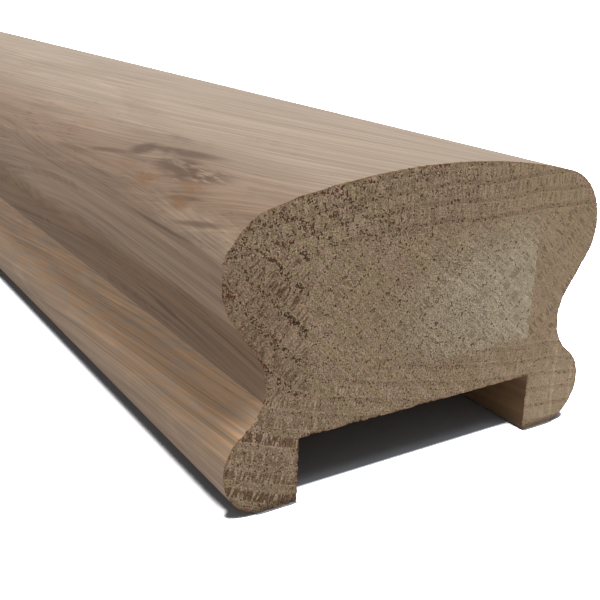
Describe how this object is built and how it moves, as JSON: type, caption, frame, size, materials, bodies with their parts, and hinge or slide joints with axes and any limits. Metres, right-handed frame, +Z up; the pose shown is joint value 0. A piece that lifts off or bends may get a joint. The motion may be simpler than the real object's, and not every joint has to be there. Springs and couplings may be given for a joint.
{
  "type": "wooden handrail",
  "caption": "Straight length of moulded oak stair handrail, glued up from strips, with a crowned top, rolled shoulders, coved grips and a groove underneath for spindles.",
  "frame": {"origin": "middle of the underside, on the surface that the two feet rest on", "axes": "+X along the rail towards the sawn end that the picture shows, +Z up through the crown, +Y across it to the right side seen from that end"},
  "size_m": [0.9, 0.063, 0.0435],
  "materials": {
    "crown_oak": "planed and unfinished along its length, sawn on its ends",
    "side_oak": "planed and unfinished along its length, sawn on its ends",
    "core_oak": "sawn on its ends, glued in on its other faces",
    "base_oak": "planed and unfinished along its length, sawn on its ends"
  },
  "bodies": {
    "root": {"crown_board": "crown_oak", "left_side_strip": "side_oak", "right_side_strip": "side_oak", "core": "core_oak", "base_board": "base_oak"}
  },
  "joints": []
}
